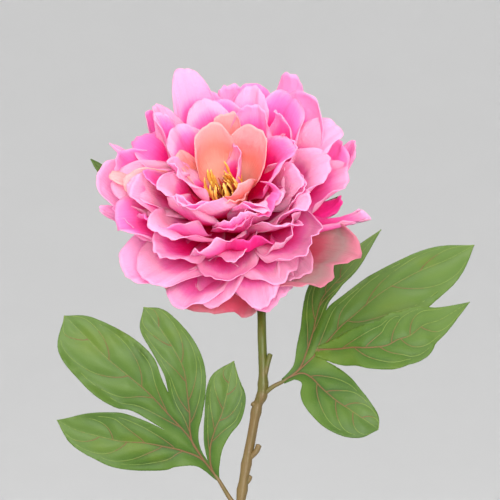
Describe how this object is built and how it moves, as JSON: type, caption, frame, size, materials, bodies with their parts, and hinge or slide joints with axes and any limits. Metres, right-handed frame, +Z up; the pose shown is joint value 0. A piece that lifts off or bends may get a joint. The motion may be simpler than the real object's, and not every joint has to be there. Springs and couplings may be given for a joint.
{
  "type": "peony in a bud vase",
  "caption": "A full pink peony on a curved stem with two lobed compound leaves, standing in a slim round-bodied bud vase with a narrow neck and an open lip.",
  "frame": {"origin": "centre of the vase's flat underside", "axes": "+Z up along the vase's axis; the flower faces -Y and a little up; +X to the viewer's right"},
  "size_m": [0.21, 0.1015, 0.3976],
  "materials": {
    "vase": "off-white gloss glaze",
    "stem": "moulded, olive green turning brown",
    "leaf": "printed green cloth with brown ribs",
    "sepal": "green cloth",
    "receptacle": "moulded green",
    "pink_petal": "dyed cloth, deep pink at the base and pale at the edge",
    "salmon_petal": "dyed cloth, peach and salmon",
    "guard_petal": "dyed cloth, dusty rose with a pale edge",
    "stamen": "yellow-orange threads",
    "pistil": "reddish brown threads"
  },
  "bodies": {
    "root": {"leaf_back": "leaf", "leaf_left": "leaf", "leaf_right": "leaf", "petal_core_inner_1": "pink_petal", "petal_core_inner_2": "pink_petal", "petal_core_inner_3": "pink_petal", "petal_core_outer_1": "pink_petal", "petal_core_outer_2": "pink_petal", "petal_core_outer_3": "pink_petal", "petal_core_outer_4": "pink_petal", "petal_cup_inner_1": "salmon_petal", "petal_cup_inner_2": "salmon_petal", "petal_cup_inner_3": "salmon_petal", "petal_cup_outer_1": "salmon_petal", "petal_cup_outer_2": "salmon_petal", "petal_cup_outer_3": "salmon_petal", "petal_guard_1": "guard_petal", "petal_guard_2": "guard_petal", "petal_guard_3": "guard_petal", "petal_guard_4": "guard_petal", "petal_guard_5": "guard_petal", "petal_middle_centre_1": "pink_petal", "petal_middle_centre_2": "pink_petal", "petal_middle_centre_3": "pink_petal", "petal_middle_centre_4": "pink_petal", "petal_middle_inner_1": "pink_petal", "petal_middle_inner_2": "pink_petal", "petal_middle_inner_3": "pink_petal", "petal_middle_inner_4": "pink_petal", "petal_middle_outer_1": "pink_petal", "petal_middle_outer_2": "pink_petal", "petal_middle_outer_3": "pink_petal", "petal_middle_outer_4": "pink_petal", "petal_outer_centre_1": "pink_petal", "petal_outer_centre_2": "pink_petal", "petal_outer_centre_3": "pink_petal", "petal_outer_centre_4": "pink_petal", "petal_outer_centre_5": "pink_petal", "petal_outer_inner_1": "pink_petal", "petal_outer_inner_2": "pink_petal", "petal_outer_inner_3": "pink_petal", "petal_outer_inner_4": "pink_petal", "petal_outer_inner_5": "pink_petal", "petal_outer_outer_1": "pink_petal", "petal_outer_outer_2": "pink_petal", "petal_outer_outer_3": "pink_petal", "petal_outer_outer_4": "pink_petal", "petal_outer_outer_5": "pink_petal", "pistils": "pistil", "receptacle": "receptacle", "sepal_1": "sepal", "sepal_2": "sepal", "sepal_3": "sepal", "sepal_4": "sepal", "sepal_5": "sepal", "stamens": "stamen", "stem": "stem", "vase": "vase"}
  },
  "joints": []
}
